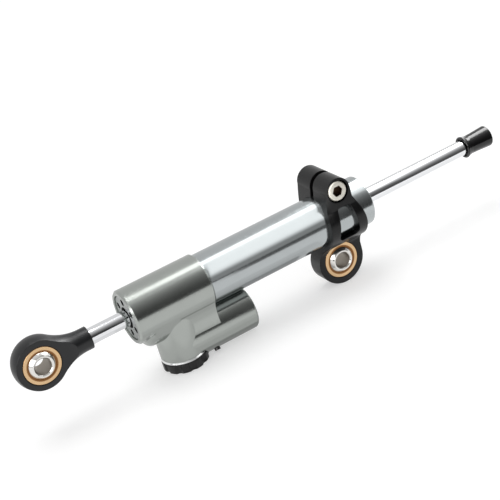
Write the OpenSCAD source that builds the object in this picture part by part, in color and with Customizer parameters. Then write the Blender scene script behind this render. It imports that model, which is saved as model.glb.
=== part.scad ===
// Linear steering damper with a through rod, an adjustable valve and a side chamber.
// X runs along the rod, +Z is up and the two ball joints have their bores along Y.
// The origin is the centre of the rod eye's ball.

/* [Ball joints] */
// Bore through each ball
ball_bore_d = 8; // [6:0.5:9]
// Diameter of each ball
ball_d = 15.875; // [15:0.125:16.5]
// Width of each ball along its bore
ball_w = 12; // [11:0.5:13]
// Outside diameter of each race
race_d = 19; // [18.4:0.1:19.4]
// Width of each race, of the rod eye and of the clamp's lug
eye_w = 9; // [8:0.5:10]

/* [Rod] */
// Diameter of the rod
rod_d = 8; // [7:0.1:8.6]
// Bare rod between the eye's shank and the head
rod_out_front = 19.6; // [12:0.2:40]
// Bare rod between the tube's end and the end stop
rod_out_rear = 64.4; // [40:0.2:66]
// Largest diameter of the rod eye
eye_d = 26; // [25:0.2:29]
// Diameter of the eye's shank
shank_d = 11; // [10.4:0.2:14]
// From the ball's centre to the end of the shank
shank_end = 25.5; // [24:0.5:34]
// Length of the end stop
stop_len = 16.1; // [12:0.1:22]
// Diameter of the end stop at its outer end
stop_d = 11; // [10.4:0.1:13]

/* [Tube and piston] */
// Outside diameter of the main tube
tube_d = 25.5; // [25.1:0.1:26]
// Wall of the main tube
tube_wall = 1.75; // [1.5:0.05:2]
// Length of the main tube
tube_len = 119.3; // [112:0.1:150]
// Length of the piston
piston_len = 12; // [10:0.5:14]
// From the front end of the tube to the middle of the piston
piston_at = 75; // [70:1:80]

/* [Glands] */
// Length of each gland
gland_len = 14.2; // [13.6:0.1:16]
// Depth of the front gland below the head's face
gland_recess = 0.6; // [0.3:0.1:1.5]
// Diameter of the front gland
gland_d = 22.7; // [22.4:0.1:23]
// Number of pin-spanner holes in a gland
pin_hole_count = 6; // [4:1:8]
// Diameter of a pin-spanner hole
pin_hole_d = 3.3; // [2:0.1:3.4]
// Diameter of the circle of pin-spanner holes
pin_circle_d = 16.2; // [16:0.1:17]

/* [Head] */
// Diameter of the head's barrel
head_d = 27.6; // [27.2:0.1:30]
// Length of the head's barrel
head_len = 41.1; // [40:0.1:44]
// Chamfer at both ends of the barrel
head_chamfer = 0.9; // [0.3:0.1:1.5]
// From the head's front face to the axis of the adjuster
boss_at = 21.2; // [21:0.1:22]
// Diameter of the adjuster's boss
boss_d = 22.4; // [21:0.1:23]
// From the rod's axis down to the boss's lower face
boss_drop = 29.2; // [28.8:0.1:29.8]
// Diameter of the lobe under the front of the barrel
lobe_d = 21.2; // [20:0.1:23]
// From the rod's axis down to the lobe's axis
lobe_drop = 7.6; // [6:0.1:8]
// Radius of the hollow flanks between the barrel and the side chamber
flank_r = 16; // [10:0.5:24]

/* [Side chamber] */
// Outside diameter of the side chamber
chamber_d = 22.2; // [21.4:0.1:22.4]
// Wall of the side chamber
chamber_wall = 2.2; // [1.9:0.1:2.5]
// From the adjuster's axis to the side chamber's right end
chamber_len = 38.5; // [37:0.5:44]
// Gap between the side chamber and the main tube
chamber_gap = 0.25; // [0.15:0.05:0.4]

/* [Adjuster] */
// Height of the bright collar under the boss
collar_h = 1.1; // [0.8:0.1:1.4]
// Diameter of the knob
knob_d = 23; // [21:0.1:23.4]
// Height of the knob
knob_h = 5; // [4.8:0.1:5.2]
// Number of lobes round the knob
knob_lobes = 10; // [6:1:12]
// Depth of the notches between the lobes
notch_depth = 1; // [0.3:0.1:1.3]
// Diameter of the spindle
spindle_d = 6; // [5.4:0.1:6.4]
// Diameter of the needle's body
needle_d = 8.9; // [8.4:0.1:9.2]
// Number of clicks in one full turn
click_count = 24; // [16:1:28]

/* [Clamp] */
// From the tube's rear end to the clamp's middle, along the rod
clamp_from_end = 17.4; // [16:0.1:40]
// Width of the clamp at its top
ear_d = 13.6; // [13.2:0.1:15]
// From the rod's axis up to the bolt
bolt_rise = 16.6; // [16.5:0.1:18]
// Thickness of the clamp's wall around the tube
clamp_wall = 2.6; // [2:0.1:3]
// Width of the slit between the ears
slit_w = 3; // [1.6:0.1:4]
// From the slit to the outer face of each ear
ear_reach = 13.5; // [13:0.1:14.5]
// Diameter of the bolt
bolt_d = 6; // [5:0.5:6]
// Diameter of the bolt's head
bolt_head_d = 10.2; // [9:0.1:10.4]
// Height of the bolt's head
bolt_head_h = 6; // [5:0.1:6.4]
// From the rod's axis down to the lug's ball joint
lug_drop = 23; // [22.9:0.1:23.4]
// Diameter of the lug round the ball joint
lug_d = 25.2; // [24.6:0.1:26]

/* [Hidden] */
$fn = 96;

// Radial clearance of a part that is pushed or screwed into place
seat = 0.02;
// Radial clearance of a part that slides or turns
run = 0.05;
// Clearance between moving faces
gap = 0.3;
// Length by which a cutter passes the surface
over = 1;

// Places along the rod
head_x = shank_end + rod_out_front;
head_end = head_x + head_len;
gland_x = head_x + gland_recess;
tube_x = gland_x + gland_len + 0.1;
tube_end = tube_x + tube_len;
rear_gland_end = tube_end - 0.5;
stop_x = tube_end + rod_out_rear;
stop_end = stop_x + stop_len;
stop_wall = 2.1;
rod_end = stop_end - stop_wall;
piston_x = tube_x + piston_at;
boss_x = head_x + boss_at;
chamber_end = boss_x + chamber_len;
clamp_x = tube_end - clamp_from_end;

// Radii
rod_r = rod_d / 2;
tube_r = tube_d / 2;
tube_in_r = tube_r - tube_wall;
head_r = head_d / 2;
chamber_r = chamber_d / 2;
chamber_in_r = chamber_r - chamber_wall;
boss_r = boss_d / 2;
knob_r = knob_d / 2;
ball_r = ball_d / 2;
race_r = race_d / 2;

// Heights
chamber_z = -(tube_r + chamber_gap + chamber_r);
boss_z = -boss_drop;
collar_z = boss_z - collar_h;
knob_top = collar_z - gap;
knob_base = knob_top - knob_h;
floor_z = -(lug_drop + lug_d / 2);

// Rod eye
eye_r = eye_d / 2;
shank_r = shank_d / 2;
neck_fillet = 24;
thread_start = race_r + 4;
flat_runout = 8;

// Piston and its clips on the rod
piston_clip_w = 0.8;
clip_front_x = piston_x - piston_len / 2 - piston_clip_w - 0.1;
clip_rear_x = piston_x + piston_len / 2 + 0.1;
band_w = 5;
band_depth = 0.8;

// Ring between the tube and the head, behind the oil port
tube_ring_at = 12;
tube_ring_section = 0.45;

// Gland: positions measured from its outer face
wiper_at = 1.3;
wiper_len = 2.6;
bush_at = 4.8;
bush_len = 5;
seal_at = 10.2;
seal_len = 3;
gland_ring_at = 8.4;
gland_ring_w = 2;
mouth_r = rod_r + 1.4;
wiper_r = rod_r + 1.9;
bush_r = rod_r + 1.5;
seal_r = rod_r + 2.2;
pin_hole_depth = 4;
ring_section = 0.88;
groove_w = 2.1;
rear_gland_r = tube_in_r - seat;

// Adjuster: heights of the bores and of the pieces in them
spigot_r = 7.6;
spigot_h = 4.7;
spigot_z = boss_z + spigot_h;
flange_r = 6.5;
flange_h = 2.2;
flange_play = 0.15;
cavity_z = spigot_z + flange_h + 2 * flange_play;
flange_z = spigot_z + flange_play;
spindle_r = spindle_d / 2;
spindle_ring_z = boss_z + 2.2;
stud_r = 1.5;
stud_len = 2.8;
needle_r = needle_d / 2;
needle_z = cavity_z + 0.6;
needle_len = 3.4;
needle_stem_r = 1.6;
needle_ring_z = needle_z + 2.2;
needle_top = -(tube_r + 1.35);
valve_top = -(tube_r + 1.9);
port_r = 1.3;
key_w = 1.2;
key_h = 0.8;
click_circle_r = 5;
click_r = 1;
click_hole_r = 0.45;
click_depth = 4.7;
screw_recess = 1.9;
knob_web = 1.4;
spindle_end = knob_base + screw_recess + knob_web + 0.1;
screw_r = 1.5;
screw_head_r = 2.75;
screw_head_h = 1.4;
drive_flat = 0.8 * spindle_r;
notch_r = 2.4;
knob_chamfer = 0.6;

// Side chamber
chamber_front = boss_x + knob_r + 2.1;
chamber_edge = 1.5;
clip_w = 1;
clip_at = chamber_end - 2;
cap_len = 5;
cap_x = clip_at - cap_len;
chamber_ring = 0.7;
float_len = 6;
float_x = chamber_front + 6;
float_hollow = 2.5;
spring_mean_r = 5.4;
spring_wire_r = 0.6;
spring_turns = 4;
passage_z = valve_top - 1.6;
bleed_tilt = 30;
bleed_r = 1.25;
bleed_head_r = 1.5;
bleed_head_h = 1.4;
bleed_x = chamber_front + 1.3;

// Clamp
clamp_in_r = tube_r + run;
clamp_out_r = clamp_in_r + clamp_wall;
ear_r = ear_d / 2;
lug_r = lug_d / 2;
bolt_x = clamp_x - 0.8;
lug_x = clamp_x - 3.7;
left_swell = 2.85;
clamp_left = bolt_x - ear_r - left_swell;
clamp_right = clamp_x + 10.5;
side_fillet = 11.5;
fillet_dx = lug_x - clamp_left + side_fillet;
bow_z = sqrt(pow(lug_r + side_fillet, 2) - fillet_dx * fillet_dx) - lug_drop;
left_bow = (pow(bolt_rise - bow_z, 2) + left_swell * left_swell) / (2 * left_swell);
right_bow = 40;
counterbore_r = bolt_head_d / 2 + 0.7;
bolt_face = 0.2;
lug_fillet = 4;
window_top = 8.3;
window_low = -9.3;
window_corner = 2.6;

// Puts what is drawn along +Z along +X, starting at x
module along_x(x) {
    translate([x, 0, 0])
        rotate([0, 90, 0])
            children();
}

// Puts what is drawn about Z about a line along Y
module along_y(x, z) {
    translate([x, 0, z])
        rotate([-90, 0, 0])
            children();
}

// Solid round bar along X
module bar_x(r, x1, x2) {
    along_x(x1)
        cylinder(h = x2 - x1, r = r);
}

// Ring along X
module ring_x(r_out, r_in, x1, x2) {
    difference() {
        bar_x(r_out, x1, x2);
        bar_x(r_in, x1 - over, x2 + over);
    }
}

// Round bar along Z
module bar_z(r, z1, z2, x = boss_x) {
    translate([x, 0, z1])
        cylinder(h = z2 - z1, r = r);
}

// Rubber ring about X, with its middle at x
module oring_x(r_mid, section, x) {
    along_x(x)
        rotate_extrude()
            translate([r_mid, 0])
                circle(section, $fn = 24);
}

// Rubber ring about the adjuster's axis
module oring_z(r_mid, section, z) {
    translate([boss_x, 0, z])
        rotate_extrude()
            translate([r_mid, 0])
                circle(section, $fn = 24);
}

// Coil along +Z as one closed tube of wire
module coil(mean_r, wire_r, height, turns, rings = 10, sides = 6) {
    steps = turns * rings;
    rise = height - 2 * wire_r;
    echo(str("least gap between the coil's turns, mm: ", rise / turns - 2 * wire_r));
    points = [for (i = [0:steps], j = [0:sides - 1])
        let (a = 360 * i / rings, b = 360 * j / sides, r = mean_r + wire_r * cos(b))
        [r * cos(a), r * sin(a), wire_r + rise * i / steps + wire_r * sin(b)]];
    walls = [for (i = [0:steps - 1], j = [0:sides - 1], t = [0, 1])
        let (k = (j + 1) % sides, p = i * sides, q = p + sides)
        t == 0 ? [p + j, p + k, q + k] : [p + j, q + k, q + j]];
    first = [for (j = [1:sides - 2]) [0, j + 1, j]];
    last = [for (j = [1:sides - 2]) [steps * sides, steps * sides + j, steps * sides + j + 1]];
    polyhedron(points, concat(walls, first, last));
}

// Spherical bearing: the race with its hollow ball seat
module race(x, z) {
    edge = 0.4;
    half = eye_w / 2;
    color("goldenrod")
        along_y(x, z)
            difference() {
                rotate_extrude()
                    polygon([[ball_r * 0.6, -half], [race_r - edge, -half], [race_r, edge - half],
                        [race_r, half - edge], [race_r - edge, half], [ball_r * 0.6, half]]);
                sphere(ball_r + 0.03);
            }
}

// Spherical bearing: the ball with its bore
module ball(x, z) {
    edge = 0.5;
    bore_r = ball_bore_d / 2;
    color("gainsboro")
        along_y(x, z)
            difference() {
                sphere(ball_r);
                for (side = [0, 1])
                    mirror([0, 0, side]) {
                        translate([0, 0, ball_w / 2])
                            cylinder(h = ball_r, r = ball_r);
                        translate([0, 0, ball_w / 2 - edge])
                            cylinder(h = 2 * edge, r1 = bore_r, r2 = bore_r + 2 * edge);
                    }
                cylinder(h = 2 * ball_r, r = bore_r, center = true);
            }
}

module rod_eye_race() race(0, 0);
module rod_eye_ball() ball(0, 0);
module clamp_race() race(lug_x, -lug_drop);
module clamp_ball() ball(lug_x, -lug_drop);

// Shank and the concave blend that widens it into the round eye
module eye_shank() {
    top = shank_r + neck_fillet;
    reach = sqrt(pow(eye_r + neck_fillet, 2) - top * top);
    k = eye_r / (eye_r + neck_fillet);
    difference() {
        rotate([0, 90, 0])
            rotate_extrude($fn = 128)
                difference() {
                    polygon([[0, 0], [k * top, k * reach], [k * top, reach],
                        [shank_r, reach], [shank_r, shank_end], [0, shank_end]]);
                    translate([top, reach])
                        circle(neck_fillet, $fn = 128);
                }
        eye_flat();
        mirror([0, 1, 0])
            eye_flat();
    }
}

// Flat that the milled sides of the eye are cut to, with a round run-out at the shank
module eye_flat() {
    width = 4 * eye_r;
    out = 1.2 * eye_r;
    flat_end = eye_r;
    translate([-out, -eye_w / 2 - out, -width / 2])
        cube([out + flat_end, out, width]);
    translate([flat_end, -eye_w / 2 - flat_runout, -width / 2])
        cylinder(h = width, r = flat_runout);
}

module rod_eye() {
    color("dimgray")
        difference() {
            union() {
                rotate([-90, 0, 0])
                    rotate_extrude($fn = 160)
                        intersection() {
                            circle(eye_r, $fn = 160);
                            translate([0, -eye_w / 2])
                                square([2 * eye_r, eye_w]);
                        }
                eye_shank();
            }
            along_y(0, 0)
                cylinder(h = eye_w + 4 * over, r = race_r + seat, center = true);
            bar_x(rod_r + seat, thread_start, shank_end + over);
        }
}

module piston_rod() {
    tip = 0.8;
    groove_r = rod_r - 0.5;
    color("silver")
        difference() {
            union() {
                bar_x(rod_r, thread_start + tip, rod_end - tip);
                along_x(thread_start)
                    cylinder(h = tip, r1 = rod_r - tip, r2 = rod_r);
                along_x(rod_end - tip)
                    cylinder(h = tip, r1 = rod_r, r2 = rod_r - tip);
            }
            for (x = [clip_front_x, clip_rear_x])
                ring_x(rod_r + over, groove_r, x, x + piston_clip_w);
        }
}

// Two spring clips that hold the piston on the rod
module piston_clips() {
    color("dimgray")
        for (x = [clip_front_x, clip_rear_x])
            difference() {
                ring_x(rod_r + 1.6, rod_r - 0.5 + seat, x + seat, x + piston_clip_w - seat);
                translate([x - over, -1.2, -2 * rod_r])
                    cube([piston_clip_w + 2 * over, 2.4, 2 * rod_r]);
            }
}

module piston() {
    color("lightsteelblue")
        difference() {
            bar_x(tube_in_r - run, piston_x - piston_len / 2, piston_x + piston_len / 2);
            bar_x(rod_r + run, piston_x - piston_len, piston_x + piston_len);
            ring_x(tube_in_r + over, tube_in_r - run - band_depth,
                piston_x - band_w / 2, piston_x + band_w / 2);
        }
}

module piston_band() {
    color("saddlebrown")
        ring_x(tube_in_r - 0.03, tube_in_r - run - band_depth + seat,
            piston_x - band_w / 2 + seat, piston_x + band_w / 2 - seat);
}

// Rubber cap with a lip at its mouth and a flare towards its outer end
module end_stop() {
    lip_r = stop_d / 2 + 0.2;
    waist_r = stop_d / 2 - 0.6;
    end_r = stop_d / 2;
    edge = 0.8;
    color("black")
        difference() {
            along_x(stop_x)
                rotate_extrude() {
                    polygon([[0, 0], [lip_r - 0.3, 0], [lip_r, 0.3], [lip_r, 0.6], [waist_r + 0.35, 1.9],
                        [waist_r, 3.6], [waist_r + 0.1, 7], [end_r, stop_len - edge],
                        [end_r - edge, stop_len], [0, stop_len]]);
                    translate([end_r - edge, stop_len - edge])
                        circle(edge, $fn = 48);
                }
            bar_x(rod_r + seat, stop_x - over, rod_end + seat);
            bar_x(rod_r + 0.8, stop_x - over, stop_x + 1);
        }
}

// Gland with its outer face at 0 and its body towards +X
module gland(r) {
    ring_r = r - 2 * ring_section + 0.02;
    color("gray")
        difference() {
            along_x(0)
                rotate_extrude()
                    polygon([[rod_r + 0.4, 0], [r - 0.4, 0], [r, 0.4], [r, gland_len - 0.4],
                        [r - 0.4, gland_len], [rod_r + 0.4, gland_len]]);
            bar_x(mouth_r, -over, wiper_at + over);
            bar_x(wiper_r, wiper_at, wiper_at + wiper_len);
            bar_x(bush_r, bush_at, seal_at);
            bar_x(seal_r, seal_at - 0.2, gland_len + over);
            ring_x(r + over, ring_r - seat, gland_ring_at - groove_w / 2, gland_ring_at + groove_w / 2);
            for (i = [0:pin_hole_count - 1])
                rotate([360 * (i + 0.5) / pin_hole_count, 0, 0])
                    translate([-over, pin_circle_d / 2, 0])
                        rotate([0, 90, 0])
                            cylinder(h = pin_hole_depth + over, r = pin_hole_d / 2);
        }
}

module wiper() {
    color("black")
        ring_x(wiper_r - seat, rod_r + run, wiper_at + seat, wiper_at + wiper_len - seat);
}

module bush() {
    color("peru")
        ring_x(bush_r - seat, rod_r + run, bush_at + seat, bush_at + bush_len);
}

module rod_seal() {
    color("black")
        difference() {
            ring_x(seal_r - seat, rod_r + run, seal_at, seal_at + seal_len);
            ring_x(rod_r + 1.5, rod_r + 0.7, seal_at + 1.4, seal_at + seal_len + over);
        }
}

module gland_oring(r) {
    color("black")
        oring_x(r - ring_section + seat, ring_section - seat, gland_ring_at);
}

module at_front() {
    translate([gland_x, 0, 0])
        children();
}

module at_rear() {
    translate([rear_gland_end, 0, 0])
        mirror([1, 0, 0])
            children();
}

module front_gland() at_front() gland(gland_d / 2);
module front_wiper() at_front() wiper();
module front_bush() at_front() bush();
module front_rod_seal() at_front() rod_seal();
module front_gland_oring() at_front() gland_oring(gland_d / 2);
module rear_gland() at_rear() gland(rear_gland_r);
module rear_wiper() at_rear() wiper();
module rear_bush() at_rear() bush();
module rear_rod_seal() at_rear() rod_seal();
module rear_gland_oring() at_rear() gland_oring(rear_gland_r);

// Main tube with a rounded rear edge, a ring groove in its seat and the oil port
module main_tube() {
    edge = 1.2;
    color("silver")
        difference() {
            union() {
                bar_x(tube_r, tube_x, tube_end - edge);
                bar_x(tube_r - edge, tube_x, tube_end);
                along_x(tube_end - edge)
                    rotate_extrude()
                        translate([tube_r - edge, 0])
                            circle(edge, $fn = 48);
            }
            bar_x(tube_in_r, tube_x - over, tube_end + over);
            ring_x(tube_r + over, tube_r - 2 * tube_ring_section,
                tube_x + tube_ring_at - 0.6, tube_x + tube_ring_at + 0.6);
            bar_z(port_r, -tube_r - over, 0);
        }
}

module tube_oring() {
    color("black")
        oring_x(tube_r - tube_ring_section, tube_ring_section - seat, tube_x + tube_ring_at);
}

// Barrel round the tube's front end
module head_barrel() {
    along_x(head_x)
        rotate_extrude()
            polygon([[0, 0], [head_r - head_chamfer, 0], [head_r, head_chamfer],
                [head_r, head_len - head_chamfer], [head_r - head_chamfer, head_len], [0, head_len]]);
}

// Point of a circle in the plane across the tube, at an angle from the side, on the left or right
function on_circle(r, z, angle, side) = [side * r * cos(angle), z + r * sin(angle)];

// Rounded lobe below the barrel, in front of the boss, with flat sides that run out of the barrel
module head_lobe() {
    lobe_r = lobe_d / 2;
    edge = 4.5;
    x1 = head_x + 3;
    tilt = -asin((head_r - lobe_r) / lobe_drop);
    translate([0, 0, -lobe_drop]) {
        bar_x(lobe_r, x1 + edge, boss_x);
        bar_x(lobe_r - edge, x1, boss_x);
        along_x(x1 + edge)
            rotate_extrude()
                translate([lobe_r - edge, 0])
                    circle(edge, $fn = 64);
    }
    translate([x1 + edge, 0, 0])
        rotate([90, 0, 90])
            linear_extrude(boss_x - x1 - edge)
                polygon([on_circle(head_r, 0, tilt, -1), on_circle(lobe_r, -lobe_drop, tilt, -1),
                    on_circle(lobe_r, -lobe_drop, tilt, 1), on_circle(head_r, 0, tilt, 1)]);
}

// Web between the barrel and the side chamber, with hollow flanks that are tangent to both
module head_web() {
    drop = -chamber_z;
    to_barrel = head_r + flank_r;
    to_chamber = chamber_r + flank_r;
    flank_z = -(drop * drop + to_barrel * to_barrel - to_chamber * to_chamber) / (2 * drop);
    flank_y = sqrt(to_barrel * to_barrel - flank_z * flank_z);
    high = atan2(flank_z, flank_y);
    low = atan2(flank_z - chamber_z, flank_y);
    translate([boss_x, 0, 0])
        rotate([90, 0, 90])
            linear_extrude(head_end - head_chamfer - boss_x)
                difference() {
                    polygon([on_circle(head_r, 0, high, -1), on_circle(chamber_r, chamber_z, low, -1),
                        on_circle(chamber_r, chamber_z, low, 1), on_circle(head_r, 0, high, 1)]);
                    for (side = [-1, 1])
                        translate([side * flank_y, flank_z])
                            circle(flank_r + 0.05, $fn = 200);
                }
}

// Outside of the side chamber with a rounded right edge
module chamber_shell() {
    translate([0, 0, chamber_z]) {
        bar_x(chamber_r, boss_x, chamber_end - chamber_edge);
        bar_x(chamber_r - chamber_edge, boss_x, chamber_end);
        along_x(chamber_end - chamber_edge)
            rotate_extrude()
                translate([chamber_r - chamber_edge, 0])
                    circle(chamber_edge, $fn = 64);
    }
}

// Turns what is drawn along -Z to the bleed screw's direction, at the chamber's surface
module at_bleed() {
    translate([bleed_x, 0, chamber_z])
        rotate([-bleed_tilt, 0, 0])
            translate([0, 0, -chamber_r])
                children();
}

// Bores for the needle, the spindle's flange and the collar's spigot, and the oil ways
module valve_bores() {
    bar_z(needle_r + run, cavity_z - over, valve_top);
    bar_z(flange_r + 0.2, spigot_z - over, cavity_z);
    bar_z(spigot_r, boss_z - over, spigot_z);
    bar_z(port_r, valve_top - over, 0);
    translate([boss_x - key_w / 2 - 0.1, 0, cavity_z - over])
        cube([key_w + 0.2, needle_r + key_h + 0.2, needle_z + 1.6 - cavity_z + over]);
    translate([0, 0, passage_z])
        bar_x(port_r, boss_x, chamber_front + over);
}

module head_body() {
    color("slategray")
        difference() {
            union() {
                head_barrel();
                head_lobe();
                head_web();
                chamber_shell();
                bar_z(boss_r, boss_z, -lobe_drop);
            }
            bar_z(knob_r + 0.7, knob_base - over, boss_z);
            bar_x(gland_d / 2 + seat, head_x - over, tube_x);
            bar_x(tube_r + seat, tube_x, head_end + over);
            valve_bores();
            translate([0, 0, chamber_z]) {
                bar_x(chamber_in_r, chamber_front, chamber_end + over);
                ring_x(chamber_in_r + 0.6, chamber_in_r - over, clip_at, clip_at + clip_w);
            }
            at_bleed() {
                translate([0, 0, -over])
                    cylinder(h = over + 0.25, r = bleed_head_r + 0.4);
                cylinder(h = chamber_wall + over, r = bleed_r);
            }
        }
}

module bleed_screw() {
    color("black")
        at_bleed()
            difference() {
                union() {
                    cylinder(h = chamber_wall - 0.2, r = bleed_r - seat);
                    translate([0, 0, 0.25 - bleed_head_h])
                        cylinder(h = bleed_head_h, r = bleed_head_r);
                }
                translate([0, 0, 0.25 - bleed_head_h - over])
                    cylinder(h = over + 0.8, r = 0.75, $fn = 6);
            }
}

// Bright collar: a disc under the boss on a spigot that guides the spindle
module adjuster_collar() {
    rim = boss_r + 0.25;
    slant = collar_h - 0.25;
    color("whitesmoke")
        difference() {
            union() {
                translate([boss_x, 0, collar_z])
                    rotate_extrude()
                        polygon([[0, 0], [rim, 0], [rim, collar_h - slant],
                            [rim - slant, collar_h], [0, collar_h]]);
                bar_z(spigot_r - seat, collar_z, spigot_z);
            }
            bar_z(spindle_r + run, collar_z - over, spigot_z + over);
            bar_z(click_r + run, spigot_z - click_depth, spigot_z + over, boss_x + click_circle_r);
        }
}

module adjuster_spindle() {
    color("silver")
        difference() {
            union() {
                bar_z(spindle_r, spindle_end, flange_z);
                bar_z(flange_r, flange_z, flange_z + flange_h);
                bar_z(stud_r, flange_z, flange_z + flange_h + stud_len);
            }
            for (i = [0:click_count - 1])
                translate([boss_x, 0, 0])
                    rotate([0, 0, 360 * i / click_count])
                        bar_z(click_hole_r, flange_z - over, flange_z + 0.3, click_circle_r);
            difference() {
                bar_z(spindle_r + over, spindle_ring_z - 0.5, spindle_ring_z + 0.5);
                bar_z(spindle_r - 0.8, spindle_ring_z - over, spindle_ring_z + over);
            }
            translate([boss_x + drive_flat, -spindle_d, spindle_end - over])
                cube([spindle_d, 2 * spindle_d, knob_top - 0.1 - spindle_end + over]);
            bar_z(screw_r + seat, spindle_end - over, spindle_end + 4);
        }
}

module spindle_oring() {
    color("black")
        oring_z(spindle_r - 0.38, 0.38, spindle_ring_z);
}

module click_ball() {
    color("silver")
        translate([boss_x + click_circle_r, 0, flange_z - 0.03 - click_r])
            sphere(click_r, $fn = 48);
}

module click_spring() {
    low = spigot_z - click_depth;
    color("silver")
        translate([boss_x + click_circle_r, 0, low])
            coil(0.75, 0.15, flange_z - 0.05 - 2 * click_r - low, 3.5, 8, 6);
}

// Needle: a keyed slider with a tip that closes the oil port
module adjuster_needle() {
    tip_h = 1.4;
    top = needle_z + needle_len;
    color("silver")
        difference() {
            union() {
                bar_z(needle_r, needle_z, top);
                bar_z(needle_stem_r, needle_z, needle_top - tip_h);
                translate([boss_x, 0, needle_top - tip_h])
                    cylinder(h = tip_h, r1 = needle_stem_r, r2 = 0.6);
                translate([boss_x - key_w / 2, 0, needle_z])
                    cube([key_w, needle_r + key_h, 0.8]);
            }
            bar_z(stud_r + run, needle_z - over, needle_z + needle_len - 0.6);
            difference() {
                bar_z(needle_r + over, needle_ring_z - 0.45, needle_ring_z + 0.45);
                bar_z(needle_r - 0.75, needle_ring_z - over, needle_ring_z + over);
            }
        }
}

module needle_oring() {
    color("black")
        oring_z(needle_r - 0.35, 0.37, needle_ring_z);
}

// Lobed outline of the knob
module knob_outline() {
    difference() {
        circle(knob_r, $fn = 128);
        for (i = [0:knob_lobes - 1])
            rotate(360 * (i + 0.3) / knob_lobes)
                translate([knob_r + notch_r - notch_depth, 0])
                    circle(notch_r, $fn = 32);
    }
}

module adjuster_knob() {
    color("black")
        difference() {
            intersection() {
                translate([boss_x, 0, knob_base])
                    linear_extrude(knob_h)
                        knob_outline();
                translate([boss_x, 0, knob_base])
                    rotate_extrude()
                        polygon([[0, 0], [knob_r - 0.4, 0], [knob_r, 0.4], [knob_r, knob_h - knob_chamfer],
                            [knob_r - knob_chamfer, knob_h], [0, knob_h]]);
            }
            difference() {
                bar_z(spindle_r + seat, spindle_end - 0.1, knob_top + over);
                translate([boss_x + drive_flat + seat, -spindle_d, spindle_end - over])
                    cube([spindle_d, 2 * spindle_d, knob_top - 0.1 - spindle_end + over]);
            }
            bar_z(screw_r + 0.1, knob_base - over, spindle_end);
            bar_z(screw_head_r + 0.4, knob_base - over, knob_base + screw_recess);
        }
}

module knob_screw() {
    seat_z = knob_base + screw_recess;
    color("dimgray")
        difference() {
            union() {
                bar_z(screw_head_r, seat_z - screw_head_h, seat_z);
                bar_z(screw_r, seat_z - 0.1, spindle_end + 3.8);
            }
            translate([boss_x, 0, seat_z - screw_head_h - over])
                cylinder(h = over + 0.9, r = 1.15, $fn = 6);
        }
}

// Plug that closes the side chamber, with a hexagon recess
module reservoir_cap() {
    groove_r = chamber_in_r - 2 * chamber_ring;
    color("gray")
        translate([0, 0, chamber_z])
            difference() {
                bar_x(chamber_in_r - seat, cap_x, clip_at - seat);
                ring_x(chamber_in_r + over, groove_r - seat, cap_x + 1.6, cap_x + 3.4);
                along_x(clip_at - 2.6)
                    cylinder(h = 2.6 + over, r = 3.5, $fn = 6);
            }
}

module reservoir_cap_oring() {
    color("black")
        translate([0, 0, chamber_z])
            oring_x(chamber_in_r - chamber_ring, chamber_ring - seat, cap_x + 2.5);
}

// Snap ring in its groove, open at the bottom
module reservoir_clip() {
    color("silver")
        translate([0, 0, chamber_z])
            difference() {
                ring_x(chamber_in_r + 0.5, chamber_in_r - 1, clip_at + seat, clip_at + clip_w - seat);
                translate([clip_at - over, -2.5, -2 * chamber_in_r])
                    cube([clip_w + 2 * over, 5, 2 * chamber_in_r]);
            }
}

module floating_piston() {
    color("lightsteelblue")
        translate([0, 0, chamber_z])
            difference() {
                bar_x(chamber_in_r - run, float_x, float_x + float_len);
                ring_x(chamber_in_r + over, chamber_in_r - 2 * chamber_ring - seat,
                    float_x + 1.3, float_x + 3.1);
                bar_x(spring_mean_r + spring_wire_r + 0.3, float_x + float_len - float_hollow,
                    float_x + float_len + over);
            }
}

module floating_piston_oring() {
    color("black")
        translate([0, 0, chamber_z])
            oring_x(chamber_in_r - chamber_ring - 0.03, chamber_ring - seat, float_x + 2.2);
}

module reservoir_spring() {
    x1 = float_x + float_len - float_hollow + 0.05;
    color("silver")
        translate([0, 0, chamber_z])
            along_x(x1)
                coil(spring_mean_r, spring_wire_r, cap_x - 0.05 - x1, spring_turns, 16, 6);
}

// Stock of the clamp along the tube: round wall, block for the ears, narrow slab for the lug
module clamp_stock() {
    half = eye_w / 2;
    side = half + lug_fillet;
    far = clamp_out_r + lug_fillet;
    drop = sqrt(far * far - side * side);
    k = clamp_out_r / far;
    x1 = clamp_x - 1.2 * lug_r;
    len = 2.4 * lug_r;
    bar_x(clamp_out_r, x1 - lug_r, x1 + len);
    translate([x1, -ear_reach, 0])
        cube([len, 2 * ear_reach, bolt_rise]);
    translate([x1 - lug_r, -half, floor_z - over])
        cube([len + lug_r, eye_w, over - floor_z]);
    for (s = [0, 1])
        mirror([0, s, 0])
            difference() {
                translate([x1 - lug_r, 0, 0])
                    rotate([90, 0, 90])
                        linear_extrude(len + lug_r)
                            polygon([[0, -clamp_in_r], [k * side, -k * drop], [side, -drop], [0, -drop]]);
                translate([0, side, -drop])
                    bar_x(lug_fillet, x1 - lug_r - over, x1 + len + over);
            }
}

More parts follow.
